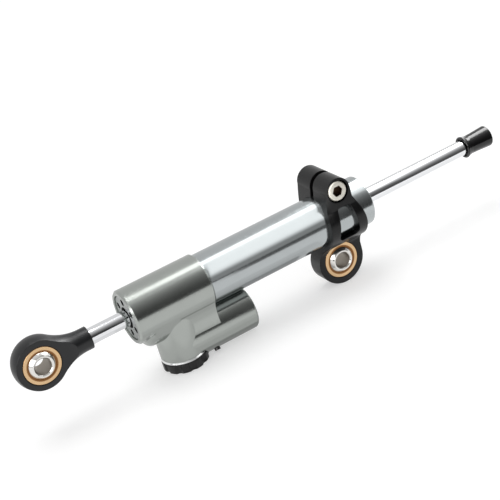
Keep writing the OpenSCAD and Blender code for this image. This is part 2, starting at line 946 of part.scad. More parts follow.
// Outside of the clamp: the stock cut to its side outline, with bowed flanks and a round lug
module clamp_outside() {
    width = 4 * ear_reach;
    intersection() {
        clamp_stock();
        rotate([90, 0, 0])
            linear_extrude(width, center = true)
                intersection() {
                    translate([lug_x - 2 * lug_r, -lug_drop])
                        square([4 * lug_r, lug_drop + bolt_rise]);
                    translate([clamp_left + left_bow, bow_z])
                        circle(left_bow, $fn = 720);
                    translate([clamp_right - right_bow, bow_z])
                        circle(right_bow, $fn = 360);
                }
    }
    intersection() {
        clamp_stock();
        along_y(lug_x, -lug_drop)
            cylinder(h = width, r = lug_r, center = true, $fn = 200);
    }
    intersection() {
        clamp_stock();
        translate([lug_x, -width / 2, -lug_drop])
            cube([lug_r, width, 0.8 * lug_r]);
    }
    intersection() {
        clamp_stock();
        rotate([90, 0, 0])
            linear_extrude(width, center = true)
                difference() {
                    polygon([[clamp_left - side_fillet, bow_z], [lug_x, -lug_drop], [lug_x, bow_z]]);
                    translate([clamp_left - side_fillet, bow_z])
                        circle(side_fillet, $fn = 160);
                }
    }
    along_y(bolt_x, bolt_rise)
        cylinder(h = 2 * ear_reach, r = ear_r, center = true);
    translate([bolt_x, -ear_reach, bolt_rise / 2])
        cube([ear_r, 2 * ear_reach, bolt_rise / 2]);
}

// Edges of the clamp's window at height z
function window_l(z) = clamp_x - 4.8 + 0.17 * z;
function window_r(z) = clamp_x + 5 - 0.115 * z;

// Window through the wall with round corners, as x and z
module window_outline() {
    r = window_corner;
    top = window_top - r;
    low = window_low + r;
    corners = [[window_l(top) + 1.015 * r, top, 90, 170.3], [window_l(low) + 1.015 * r, low, 170.3, 270],
        [window_r(low) - 1.007 * r, low, 270, 366.6], [window_r(top) - 1.007 * r, top, 366.6, 450]];
    polygon([for (c = corners, a = [c[2], c[3]]) [c[0] + r * cos(a), c[1] + r * sin(a)]]);
    for (c = corners)
        translate([c[0], c[1]])
            circle(r, $fn = 64);
}

module clamp_bracket() {
    color("dimgray")
        difference() {
            clamp_outside();
            bar_x(clamp_in_r, clamp_x - 30, clamp_x + 30);
            translate([clamp_x - 30, -slit_w / 2, 0])
                cube([60, slit_w, bolt_rise + 2 * ear_r]);
            rotate([90, 0, 0])
                linear_extrude(4 * ear_reach, center = true)
                    window_outline();
            along_y(lug_x, -lug_drop)
                cylinder(h = eye_w + 4 * over, r = race_r + seat, center = true);
            along_y(bolt_x, bolt_rise) {
                translate([0, 0, -ear_reach - over])
                    cylinder(h = ear_reach + over, r = bolt_d / 2 + 0.2);
                cylinder(h = ear_reach + over, r = bolt_d / 2 + seat);
                translate([0, 0, -ear_reach - over])
                    cylinder(h = over + bolt_face + bolt_head_h, r = counterbore_r);
            }
        }
}

module clamp_bolt() {
    edge = 0.5;
    head_r = bolt_head_d / 2;
    color("silver")
        along_y(bolt_x, bolt_rise)
            translate([0, 0, bolt_face - ear_reach])
                difference() {
                    union() {
                        rotate_extrude()
                            polygon([[0, 0], [head_r - edge, 0], [head_r, edge],
                                [head_r, bolt_head_h], [0, bolt_head_h]]);
                        cylinder(h = 2 * ear_reach - 2, r = bolt_d / 2);
                    }
                    translate([0, 0, -over])
                        cylinder(h = over + 3, r = 2.9, $fn = 6);
                }
}

head_body();
main_tube();
tube_oring();
front_gland();
front_wiper();
front_bush();
front_rod_seal();
front_gland_oring();
rear_gland();
rear_wiper();
rear_bush();
rear_rod_seal();
rear_gland_oring();
piston_rod();
piston();
piston_band();
piston_clips();
rod_eye();
rod_eye_race();
rod_eye_ball();
end_stop();
clamp_bracket();
clamp_bolt();
clamp_race();
clamp_ball();
adjuster_collar();
adjuster_spindle();
adjuster_needle();
needle_oring();
spindle_oring();
click_ball();
click_spring();
adjuster_knob();
knob_screw();
reservoir_cap();
reservoir_cap_oring();
reservoir_clip();
floating_piston();
floating_piston_oring();
reservoir_spring();
bleed_screw();
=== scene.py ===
"""Finishes and studio for a motorcycle steering damper.

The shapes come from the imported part. This script gives every piece of it the finish of the
real material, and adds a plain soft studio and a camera.
All lengths are in metres unless a name says millimetres. X runs along the rod, from the eye at
the origin to the stop at its far end. The camera looks from the front, where Y is negative.
"""

import math

import bpy
from mathutils import Euler, Matrix, Vector


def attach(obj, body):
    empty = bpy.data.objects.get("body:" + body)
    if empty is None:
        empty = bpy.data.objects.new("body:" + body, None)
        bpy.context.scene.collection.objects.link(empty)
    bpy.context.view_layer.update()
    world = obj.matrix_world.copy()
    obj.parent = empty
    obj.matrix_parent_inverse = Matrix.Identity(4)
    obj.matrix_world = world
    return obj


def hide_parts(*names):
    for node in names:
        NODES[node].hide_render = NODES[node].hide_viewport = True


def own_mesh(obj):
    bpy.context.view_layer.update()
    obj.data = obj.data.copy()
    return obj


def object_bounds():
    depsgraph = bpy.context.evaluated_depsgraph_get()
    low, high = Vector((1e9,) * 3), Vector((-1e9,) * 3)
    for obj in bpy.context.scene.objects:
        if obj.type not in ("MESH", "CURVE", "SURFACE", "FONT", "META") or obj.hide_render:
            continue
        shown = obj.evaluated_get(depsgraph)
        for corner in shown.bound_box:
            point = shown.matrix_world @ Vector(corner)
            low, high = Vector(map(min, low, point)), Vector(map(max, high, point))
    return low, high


bl_info = {
    "name": "Steering damper finishes",
    "version": (1, 0, 0),
    "blender": (4, 5, 0),
    "location": "3D View > Sidebar > Damper",
    "description": "Finishes and soft studio for a through-rod steering damper",
    "category": "Object",
}

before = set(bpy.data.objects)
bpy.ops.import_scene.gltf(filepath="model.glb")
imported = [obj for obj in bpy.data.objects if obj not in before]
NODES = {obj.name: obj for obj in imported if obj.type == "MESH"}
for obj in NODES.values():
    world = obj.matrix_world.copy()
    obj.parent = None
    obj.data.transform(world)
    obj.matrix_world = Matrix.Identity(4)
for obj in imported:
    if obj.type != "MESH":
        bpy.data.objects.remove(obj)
CAD_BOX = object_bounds()

MM = 0.001
GROUND = CAD_BOX[0].z  # the damper's lowest point
PAPER_GAP = 0.05 * MM  # between that point and the paper, with room for thin cards
WHITE = (1.0, 1.0, 1.0, 1.0)
NOISE_LOW, NOISE_HIGH = 0.3, 0.7  # nearly all of a noise pattern lies between these
SMOOTHEST = 0.02  # roughness of the smoothest mark on any surface


def linear(hex_colour):
    """Linear RGB of an sRGB hex colour."""
    channels = [int(hex_colour[i:i + 2], 16) / 255 for i in (1, 3, 5)]
    return tuple(c / 12.92 if c <= 0.04045 else ((c + 0.055) / 1.055) ** 2.4 for c in channels)


def cells_per_metre(size_mm):
    """Texture scale at which one cell of a pattern is size_mm wide."""
    return 1000.0 / size_mm


def ends(name, axis):
    """Lowest and highest place of a piece along X, Y or Z."""
    places = [vertex.co["XYZ".index(axis)] for vertex in NODES[name].data.vertices]
    return min(places), max(places)


def middle(name):
    """Middle of a piece. On a turned piece it lies on the axis."""
    return tuple(sum(ends(name, axis)) / 2 for axis in "XYZ")


def reach(name):
    """Shortest and longest distance of a piece from its own front-to-back axis."""
    x, _, z = middle(name)
    reaches = [math.hypot(vertex.co.x - x, vertex.co.z - z)
               for vertex in NODES[name].data.vertices]
    return min(reaches), max(reaches)


def colour_setting(name, description, hex_colour):
    """One colour that a user may change."""
    return bpy.props.FloatVectorProperty(
        name=name, description=description, default=linear(hex_colour),
        size=3, min=0.0, max=1.0, subtype="COLOR")


def share_setting(name, description, default):
    """One number from 0 to 1 that a user may change."""
    return bpy.props.FloatProperty(
        name=name, description=description, default=default,
        min=0.0, max=1.0, subtype="FACTOR")


def length_setting(name, description, default):
    """One length that a user may change."""
    return bpy.props.FloatProperty(
        name=name, description=description, default=default,
        min=0.0, max=5.0, unit="LENGTH", subtype="DISTANCE")


def angle_setting(name, description, degrees):
    """One angle that a user may change."""
    return bpy.props.FloatProperty(
        name=name, description=description, default=math.radians(degrees),
        min=0.0, max=math.radians(120), unit="ROTATION", subtype="ANGLE")


def level_setting(name, description, default):
    """One brightness that a user may change, where 1 is white."""
    return bpy.props.FloatProperty(
        name=name, description=description, default=default, min=0.0, max=20.0, subtype="NONE")


class DamperColours(bpy.types.PropertyGroup):
    """Colours of the damper's finishes."""

    head: colour_setting("Head", "Titanium-grey anodised head", "#a9ada9")
    tube: colour_setting("Tube", "Clear anodised tube", "#b3b8b9")
    gland: colour_setting("Glands", "Anodised glands", "#a4a8a6")
    # Painted shade, blended over the glands behind their faces.
    painted_hole_shade: colour_setting("Gland holes", "Painted shade down in the glands' holes", "#2b2a28")
    bright: colour_setting("Bright ring", "Turned bare aluminium", "#f6f7f7")
    eye: colour_setting("Rod eye", "Black anodised rod eye", "#0b0d11")
    clamp: colour_setting("Clamp", "Black anodised clamp", "#0c0c0d")
    knob: colour_setting("Knob", "Black anodised knob", "#101011")
    chrome: colour_setting("Rod", "Hard chrome on the rod", "#e9eaec")
    race: colour_setting("Races", "Turned bronze races", "#dab88e")
    race_edge_tone: colour_setting("Race edges", "Darker bronze at the races' edges", "#7a4e26")
    bush: colour_setting("Bushes", "Sintered bronze bushes", "#a97c4a")
    ball: colour_setting("Balls", "Polished bearing steel", "#e4e2de")
    # Darker than the ball's steel as painted shade inside the bores.
    bore: colour_setting("Ball bores", "Bored steel inside the balls", "#9c958c")
    bolt: colour_setting("Bolt", "Zinc-plated bolt", "#f2eee2")
    # Painted shade, blended down in the bolt's socket.
    socket: colour_setting("Bolt socket", "Painted shade inside the bolt's socket", "#4a3a2e")
    steel: colour_setting("Spindle", "Ground stainless steel", "#b9babb")
    wire: colour_setting("Springs", "Oiled spring wire", "#77797b")
    screw: colour_setting("Small screws", "Black oxide on steel", "#1d1c1c")
    stop: colour_setting("End stop", "Moulded black rubber", "#0a0a0b")
    seal: colour_setting("Seals", "Nitrile rubber", "#0f0f10")
    band: colour_setting("Guide bands", "Bronze-filled fluoropolymer", "#4d4231")


class DamperGloss(bpy.types.PropertyGroup):
    """Roughness of the damper's outer finishes, and how round its edges look."""

    head: share_setting("Head", "Roughness of the anodised head", 0.2)
    tube: share_setting("Tube", "Roughness of the anodised tube", 0.17)
    gland: share_setting("Glands", "Roughness of the anodised glands", 0.26)
    bright: share_setting("Bright ring", "Roughness of the bare aluminium", 0.18)
    chrome: share_setting("Rod", "Roughness of the chrome", 0.07)
    eye: share_setting("Rod eye", "Roughness of the black rod eye", 0.36)
    clamp: share_setting("Clamp", "Roughness of the black clamp", 0.3)
    knob: share_setting("Knob", "Roughness of the black knob", 0.28)
    race: share_setting("Races", "Roughness of the bronze races", 0.25)
    ball: share_setting("Balls", "Roughness of the polished balls", 0.12)
    bore: share_setting("Ball bores", "Roughness inside the balls", 0.42)
    bolt: share_setting("Bolt", "Roughness of the zinc plating", 0.38)
    stop: share_setting("End stop", "Roughness of the rubber stop", 0.17)
    edge: length_setting("Edge rounding", "Radius that the light sees on sharp edges", 0.00015)


class DamperStudio(bpy.types.PropertyGroup):
    """Sizes and levels of the studio."""

    floor_size: length_setting("Floor", "Side of the square floor", 5.0)
    paper_glow: level_setting("Paper glow", "Glow of the paper for camera and metal", 0.45)
    key_level: level_setting("Key", "Light of the overhead lamp on the floor", 0.25)
    key_width: angle_setting("Key width", "Angle that the overhead lamp fills", 35)
    key_lean: angle_setting("Key lean", "How far behind the damper the lamp hangs", 12)
    room_level: level_setting("Room", "Light that comes from all round", 0.6)
    backdrop_level: level_setting("Backdrop in metal", "Background as metal shows it", 0.78)
    box_height: length_setting("Box height", "Height of the overhead boxes", 0.4)
    box_level: level_setting("Overhead box", "Brightness of the box over the damper", 2.6)
    fill_level: level_setting("Overhead fill", "Brightness of the gap beside that box", 1.1)
    eye_box_level: level_setting("Box over the eye", "Brightness of the box at the left", 8.0)
    stop_box_level: level_setting("Box over the stop", "Brightness of the box at the right", 11.0)
    window_level: level_setting("Front box", "Brightness of the box in front of the tube", 1.75)
    screen_height: length_setting("Screen height", "Height of the dark screens in front", 0.42)


def add_node(tree, kind, settings=None, inputs=None):
    """Adds one node, with its settings, and with a value or a link on each named input."""
    node = tree.nodes.new(kind)
    for name, value in (settings or {}).items():
        setattr(node, name, value)
    for name, value in (inputs or {}).items():
        if isinstance(value, bpy.types.NodeSocket):
            tree.links.new(value, node.inputs[name])
        else:
            node.inputs[name].default_value = value
    return node


def set_stops(ramp_node, stops):
    """Gives a colour ramp its stops, each a place and a colour."""
    ramp = ramp_node.color_ramp
    while len(ramp.elements) < len(stops):
        ramp.elements.new(0.5)
    for element, (place, colour) in zip(ramp.elements, stops):
        element.position = place
        element.color = (*colour, 1.0)


def shaded(colour, share):
    """A colour made darker or lighter by a share."""
    return tuple(min(1.0, c * share) for c in colour)


def place_along(tree, axis):
    """Place of a spot along X, Y or Z."""
    place = add_node(tree, "ShaderNodeTexCoord")
    split = add_node(tree, "ShaderNodeSeparateXYZ", {}, {"Vector": place.outputs["Object"]})
    return split.outputs[axis]


def reach_from_axis(tree, name):
    """Distance of a spot from the front-to-back axis through the middle of a piece."""
    x, _, z = middle(name)
    place = add_node(tree, "ShaderNodeTexCoord")
    flat = add_node(tree, "ShaderNodeVectorMath", {"operation": "MULTIPLY"}, {
        0: place.outputs["Object"], 1: (1.0, 0.0, 1.0)})
    away = add_node(tree, "ShaderNodeVectorMath", {"operation": "DISTANCE"}, {
        0: flat.outputs["Vector"], 1: (x, 0.0, z)})
    return away.outputs["Value"]


def mirror_share(tree, path):
    """1 for what metal or glass shows, and 0 for the rest."""
    mirrored = add_node(tree, "ShaderNodeMath", {"operation": "MAXIMUM"}, {
        0: path.outputs["Is Glossy Ray"], 1: path.outputs["Is Transmission Ray"]})
    return mirrored.outputs["Value"]


def made_surface(name, colour, metallic, roughness, marks_mm, edge, rough_spread=0.03,
                 depth_mm=0.0, tone=0.03, cloud_mm=9.0, shader_values=None):
    """A finish whose marks are stretched the way the tool or the process left them.

    marks_mm gives the width of a mark along X, Y and Z. Where the real marks are too fine to
    show, it is the finest width that does. The marks change the roughness by rough_spread and,
    with a depth, the relief. The colour changes slowly by the share tone, over cloud_mm. edge
    is the radius that sharp edges seem to have, more on pieces whose real edges are rounder.
    """
    material = bpy.data.materials.new(name)
    material.use_nodes = True
    tree = material.node_tree
    shader = tree.nodes["Principled BSDF"]
    shader.inputs["Metallic"].default_value = metallic
    for socket, value in (shader_values or {}).items():
        shader.inputs[socket].default_value = value

    place = add_node(tree, "ShaderNodeTexCoord")
    stretched = add_node(tree, "ShaderNodeMapping", {}, {
        "Vector": place.outputs["Object"],
        "Scale": tuple(cells_per_metre(mark) for mark in marks_mm)})
    marks = add_node(tree, "ShaderNodeTexNoise", {}, {
        "Vector": stretched.outputs["Vector"], "Scale": 1.0, "Detail": 2.0})
    gloss = add_node(tree, "ShaderNodeMapRange", {}, {
        "Value": marks.outputs["Fac"], "From Min": NOISE_LOW, "From Max": NOISE_HIGH,
        "To Min": max(SMOOTHEST, roughness - rough_spread), "To Max": roughness + rough_spread})
    tree.links.new(gloss.outputs["Result"], shader.inputs["Roughness"])

    cloud = add_node(tree, "ShaderNodeTexNoise", {}, {
        "Vector": place.outputs["Object"], "Scale": cells_per_metre(cloud_mm), "Detail": 3.0})
    tint = add_node(tree, "ShaderNodeValToRGB", {}, {"Fac": cloud.outputs["Fac"]})
    set_stops(tint, [(NOISE_LOW, shaded(colour, 1 - tone)), (NOISE_HIGH, shaded(colour, 1 + tone))])
    tree.links.new(tint.outputs["Color"], shader.inputs["Base Color"])

    rounded = add_node(tree, "ShaderNodeBevel", {"samples": 4}, {"Radius": edge})
    normal = rounded.outputs["Normal"]
    if depth_mm:
        relief = add_node(tree, "ShaderNodeBump", {}, {
            "Height": marks.outputs["Fac"], "Strength": 1.0,
            "Distance": depth_mm * MM, "Normal": normal})
        normal = relief.outputs["Normal"]
    tree.links.new(normal, shader.inputs["Normal"])
    return material


def blend_colour(tree, share, colour):
    """Blends a second colour over a finish by a share."""
    shader = tree.nodes["Principled BSDF"]
    blend = add_node(tree, "ShaderNodeMix", {"data_type": "RGBA"}, {
        "Factor": share, "A": shader.inputs["Base Color"].links[0].from_socket,
        "B": (*colour, 1.0)})
    tree.links.new(blend.outputs["Result"], shader.inputs["Base Color"])


def finish_nodes(names, material):
    """Puts one material on the named pieces of the part."""
    for name in names:
        mesh = NODES[name].data
        mesh.materials.clear()
        mesh.materials.append(material)


def emission_card(name, corners, levels):
    """A card that only glossy surfaces see.

    levels gives pairs of a height and a brightness, where 1 is white. One pair makes it even.
    """
    mesh = bpy.data.meshes.new(name)
    mesh.from_pydata(corners, [], [tuple(range(len(corners)))])
    card = bpy.data.objects.new(name, mesh)
    bpy.context.scene.collection.objects.link(card)
    material = bpy.data.materials.new(name)
    material.use_nodes = True
    tree = material.node_tree
    tree.nodes.remove(tree.nodes["Principled BSDF"])
    strongest = max(level for _, level in levels)
    light = add_node(tree, "ShaderNodeEmission", {}, {"Color": WHITE, "Strength": strongest})
    if len(levels) > 1:
        bottom = min(z for _, _, z in corners)
        top = max(z for _, _, z in corners)
        share = add_node(tree, "ShaderNodeMapRange", {}, {
            "Value": place_along(tree, "Z"), "From Min": bottom, "From Max": top})
        ramp = add_node(tree, "ShaderNodeValToRGB", {}, {"Fac": share.outputs["Result"]})
        set_stops(ramp, [((height - bottom) / (top - bottom), (level / strongest,) * 3)
                         for height, level in levels])
        tree.links.new(ramp.outputs["Color"], light.inputs["Color"])
    tree.links.new(light.outputs["Emission"], tree.nodes["Material Output"].inputs["Surface"])
    mesh.materials.append(material)
    card.visible_camera = False
    card.visible_diffuse = False
    card.visible_transmission = False
    card.visible_volume_scatter = False
    card.visible_shadow = False


def level_card(name, left, right, front, back, height, level, back_right=None):
    """A flat, even card. back_right is its back edge at the right end, where that differs."""
    if back_right is None:
        back_right = back
    corners = [(left, front, height), (right, front, height),
               (right, back_right, height), (left, back, height)]
    emission_card(name, corners, [(height, level)])


def upright_card(name, start, end, bottom, top, levels):
    """A standing card from start to end, both as X and Y."""
    corners = [(*start, bottom), (*end, bottom), (*end, top), (*start, top)]
    emission_card(name, corners, levels)


class DAMPER_OT_finish_head(bpy.types.Operator):
    """Finish the grey head, the glands and the bright ring under the boss."""

    bl_idname = "damper.finish_head"
    bl_label = "Finish the head"

    def execute(self, context):
        colours = context.scene.damper_colours
        gloss = context.scene.damper_gloss

        # Aluminium, turned and milled, finely blasted and anodised titanium grey. The blast
        # leaves a satin skin that still draws a clear line where the studio changes. The real
        # grit is under 0.1 mm, so it is drawn at 0.5 mm, as fine as the picture can show.
        head = made_surface(
            "aluminium_blasted_anodised_grey", colours.head, metallic=1.0,
            roughness=gloss.head, rough_spread=0.025, marks_mm=(0.5, 0.5, 0.5), tone=0.015,
            edge=2.5 * gloss.edge)
        finish_nodes(["head_body", "reservoir_cap", "floating_piston"], head)

        # Aluminium plugs, turned and anodised with the head. Turning leaves rings on the face,
        # about 0.1 mm apart and drawn at 0.4 mm.
        gland = made_surface(
            "aluminium_turned_anodised_plug", colours.gland, metallic=1.0,
            roughness=gloss.gland, rough_spread=0.04, marks_mm=(0.4, 3.0, 3.0), tone=0.03,
            edge=gloss.edge)
        # Painted shade: the glands' pin holes and mouth are darkened by position.
        self.shade_gland_holes(gland.node_tree, colours.painted_hole_shade)
        finish_nodes(["front_gland", "rear_gland"], gland)

        # Bare aluminium, turned with a sharp tool. It is the brightest edge of the object. Its
        # lines are about 0.05 mm wide and are drawn at 0.4 mm.
        bright = made_surface(
            "aluminium_turned_bare", colours.bright, metallic=1.0,
            roughness=gloss.bright, rough_spread=0.03, marks_mm=(2.0, 2.0, 0.4), tone=0.01,
            edge=gloss.edge)
        finish_nodes(["adjuster_collar", "piston"], bright)
        return {"FINISHED"}

    def shade_gland_holes(self, tree, colour):
        """Painted shade in the pin holes and the mouth: all that lies behind the faces is darkened.
        """
        shade_start, shade_full = 0.5 * MM, 1.2 * MM
        left_face, _ = ends("front_gland", "X")
        _, right_face = ends("rear_gland", "X")
        along = place_along(tree, "X")
        behind_left = add_node(tree, "ShaderNodeMapRange", {}, {
            "Value": along, "From Min": left_face + shade_start,
            "From Max": left_face + shade_full})
        behind_right = add_node(tree, "ShaderNodeMapRange", {}, {
            "Value": along, "From Min": right_face - shade_start,
            "From Max": right_face - shade_full})
        behind = add_node(tree, "ShaderNodeMath", {"operation": "MULTIPLY"}, {
            0: behind_left.outputs["Result"], 1: behind_right.outputs["Result"]})
        blend_colour(tree, behind.outputs["Value"], colour)


class DAMPER_OT_finish_tube_and_rod(bpy.types.Operator):
    """Finish the tube, the chromed rod and the stop at its end."""

    bl_idname = "damper.finish_tube_and_rod"
    bl_label = "Finish the tube and rod"

    def execute(self, context):
        colours = context.scene.damper_colours
        gloss = context.scene.damper_gloss

        # Drawn aluminium tube, polished on a lathe and clear anodised. The polishing lines run
        # round the tube and stretch each highlight a little round it. They are about 0.05 mm
        # wide and are drawn at 0.6 mm, as fine as the picture can show.
        tube = made_surface(
            "aluminium_drawn_clear_anodised", colours.tube, metallic=1.0,
            roughness=gloss.tube, rough_spread=0.03, marks_mm=(0.6, 14.0, 14.0), tone=0.012,
            edge=gloss.edge)
        finish_nodes(["main_tube"], tube)

        # Steel rod, ground and hard chromed. It mirrors the studio as clean stripes. The
        # grinding lines run round it, far finer than the 0.8 mm that they are drawn at.
        chrome = made_surface(
            "steel_hard_chromed_rod", colours.chrome, metallic=1.0,
            roughness=gloss.chrome, rough_spread=0.015, marks_mm=(0.8, 10.0, 10.0), tone=0.005,
            edge=gloss.edge)
        finish_nodes(["piston_rod"], chrome)

        # Moulded rubber stop. Its smooth skin shows a soft grey band along the top. The mould's
        # grain is about 0.1 mm wide and is drawn at 0.7 mm.
        stop = made_surface(
            "rubber_moulded_stop", colours.stop, metallic=0.0,
            roughness=gloss.stop, rough_spread=0.04, marks_mm=(0.7, 0.7, 0.7), tone=0.08,
            edge=2 * gloss.edge, shader_values={"Specular IOR Level": 0.5})
        finish_nodes(["end_stop"], stop)
        return {"FINISHED"}


class DAMPER_OT_finish_eye_and_clamp(bpy.types.Operator):
    """Finish the rod's eye, the clamp, their ball joints and the clamp's bolt."""

    bl_idname = "damper.finish_eye_and_clamp"
    bl_label = "Finish the eye and clamp"

    def execute(self, context):
        colours = context.scene.damper_colours
        gloss = context.scene.damper_gloss

        # Aluminium, forged, tumbled and anodised black. The dyed oxide is a dark skin with a
        # satin sheen that greys where it faces the overhead box. Tumbling leaves dents of about
        # 0.2 mm, drawn at 0.45 mm.
        eye = made_surface(
            "aluminium_tumbled_anodised_black", colours.eye, metallic=0.0,
            roughness=gloss.eye, rough_spread=0.04, marks_mm=(0.45, 0.45, 0.45),
            depth_mm=0.004, tone=0.06, edge=3 * gloss.edge, shader_values={"IOR": 1.5})
        finish_nodes(["rod_eye"], eye)

        # Aluminium, milled and anodised black. The cutter leaves it a shade closer and darker.
        # Its marks are about 0.2 mm wide and are drawn at 0.45 mm.
        clamp = made_surface(
            "aluminium_milled_clamp_black", colours.clamp, metallic=0.0,
            roughness=gloss.clamp, rough_spread=0.04, marks_mm=(0.45, 0.45, 0.45),
            depth_mm=0.003, tone=0.06, edge=3 * gloss.edge,
            shader_values={"Specular IOR Level": 0.33})
        finish_nodes(["clamp_bracket"], clamp)

        finish_nodes(["rod_eye_race", "clamp_race"], self.race_bronze(colours, gloss))
        finish_nodes(["rod_eye_ball", "clamp_ball"], self.ball_steel(colours, gloss))
        finish_nodes(["clamp_bolt"], self.bolt_zinc(colours, gloss))
        return {"FINISHED"}

    def bolt_zinc(self, colours, gloss):
        """Steel, cold headed and zinc plated. Soft and creamy, with painted shade, dark brown, down
        in the socket.

        The plating's grain is too fine to see and is drawn at 0.5 mm.
        """
        bolt = made_surface(
            "steel_zinc_plated_bolt", colours.bolt, metallic=1.0,
            roughness=gloss.bolt, rough_spread=0.05, marks_mm=(0.5, 0.5, 0.5), tone=0.03,
            edge=2 * gloss.edge)
        tree = bolt.node_tree
        # Painted shade: below the socket's rim, inside its corners, the colour turns to the socket
        # colour.
        shade_start, shade_full = 0.2 * MM, 0.9 * MM
        slack, soft_edge = 0.1 * MM, 0.2 * MM
        head_face, _ = ends("clamp_bolt", "Y")
        socket_corner, _ = reach("clamp_bolt")
        deep = add_node(tree, "ShaderNodeMapRange", {}, {
            "Value": place_along(tree, "Y"), "From Min": head_face + shade_start,
            "From Max": head_face + shade_full})
        inside = add_node(tree, "ShaderNodeMapRange", {}, {
            "Value": reach_from_axis(tree, "clamp_bolt"),
            "From Min": socket_corner + slack + soft_edge, "From Max": socket_corner + slack})
        socket = add_node(tree, "ShaderNodeMath", {"operation": "MULTIPLY"}, {
            0: deep.outputs["Result"], 1: inside.outputs["Result"]})
        blend_colour(tree, socket.outputs["Value"], colours.socket)
        return bolt

    def reach_from_joint(self, tree):
        """Distance of a spot from the axis of the ball joint that it belongs to."""
        nearer = add_node(tree, "ShaderNodeMath", {"operation": "MINIMUM"}, {
            0: reach_from_axis(tree, "rod_eye_ball"), 1: reach_from_axis(tree, "clamp_ball")})
        return nearer.outputs["Value"]

    def ball_steel(self, colours, gloss):
        """Bearing steel, hardened, ground and polished. The bore is only bored, so rougher, and
        painted shade darkens its colour.

        The polishing marks are too fine to see and are drawn at 0.6 mm.
        """
        steel = made_surface(
            "steel_bearing_polished", colours.ball, metallic=1.0,
            roughness=gloss.ball, rough_spread=0.02, marks_mm=(0.6, 0.6, 0.6), tone=0.01,
            edge=gloss.edge)
        tree = steel.node_tree
        shader = tree.nodes["Principled BSDF"]
        bore, _ = reach("clamp_ball")
        slack, soft_edge = 0.05 * MM, 0.15 * MM
        inside = add_node(tree, "ShaderNodeMapRange", {}, {
            "Value": self.reach_from_joint(tree), "From Min": bore + slack + soft_edge,
            "From Max": bore + slack})
        # The bore's darker colour is painted shade. Its higher roughness is the bored finish.
        blend_colour(tree, inside.outputs["Result"], colours.bore)
        polished = shader.inputs["Roughness"].links[0].from_socket
        duller = add_node(tree, "ShaderNodeMix", {"data_type": "FLOAT"}, {
            "Factor": inside.outputs["Result"], "A": polished, "B": gloss.bore})
        tree.links.new(duller.outputs["Result"], shader.inputs["Roughness"])
        return steel

    def race_bronze(self, colours, gloss):
        """Bronze, turned and staked. The face is bright and darker towards its inner and outer
        edges.

        The turning lines are about 0.1 mm wide and are drawn at 0.3 mm.
        """
        bronze = made_surface(
            "bronze_turned_staked_race", colours.race, metallic=1.0,
            roughness=gloss.race, rough_spread=0.04, marks_mm=(0.3, 4.0, 0.3), tone=0.03,
            edge=gloss.edge)
        tree = bronze.node_tree
        inner, outer = reach("clamp_race")
        inner_slack, outer_slack = 0.17 * MM, 0.1 * MM
        # Darker towards the race's inner and outer edges.
        edge_darkening = ((0.0, 1.0), (0.31, 0.9), (0.42, 0.0), (0.82, 0.0), (0.9, 0.95))
        share = add_node(tree, "ShaderNodeMapRange", {}, {
            "Value": self.reach_from_joint(tree), "From Min": inner - inner_slack,
            "From Max": outer + outer_slack})
        ring = add_node(tree, "ShaderNodeValToRGB", {}, {"Fac": share.outputs["Result"]})
        set_stops(ring, [(place, (level,) * 3) for place, level in edge_darkening])
        blend_colour(tree, ring.outputs["Color"], colours.race_edge_tone)
        return bronze


class DAMPER_OT_finish_adjuster(bpy.types.Operator):
    """Finish the knob, its spindle, needle and screws."""

    bl_idname = "damper.finish_adjuster"
    bl_label = "Finish the adjuster"

    def execute(self, context):
        colours = context.scene.damper_colours
        gloss = context.scene.damper_gloss

        # Aluminium knob, milled and anodised black, a little glossier than the clamp. The
        # cutter's marks are about 0.2 mm wide and are drawn at 0.5 mm.
        knob = made_surface(
            "aluminium_milled_anodised_black", colours.knob, metallic=0.0,
            roughness=gloss.knob, rough_spread=0.04, marks_mm=(0.5, 0.5, 0.5), tone=0.06,
            edge=2 * gloss.edge, shader_values={"Specular IOR Level": 0.45})
        finish_nodes(["adjuster_knob"], knob)

        # Stainless steel, turned and ground. Clean grey, seen only at the knob's middle. The
        # lines run round it, finer than the 0.4 mm that they are drawn at.
        steel = made_surface(
            "steel_stainless_ground", colours.steel, metallic=1.0,
            roughness=0.22, rough_spread=0.03, marks_mm=(3.0, 3.0, 0.4), tone=0.02,
            edge=gloss.edge)
        finish_nodes(["adjuster_spindle", "adjuster_needle", "click_ball"], steel)

        # Steel screws and rings with black oxide, slightly oily, so dark with a small glint.
        # The oxide's grain is too fine to see and is drawn at 0.4 mm.
        screw = made_surface(
            "steel_black_oxide", colours.screw, metallic=0.0,
            roughness=0.3, rough_spread=0.06, marks_mm=(0.4, 0.4, 0.4), tone=0.08,
            edge=gloss.edge, shader_values={"IOR": 1.8})
        finish_nodes(["knob_screw", "bleed_screw", "reservoir_clip", "piston_clips"], screw)
        return {"FINISHED"}


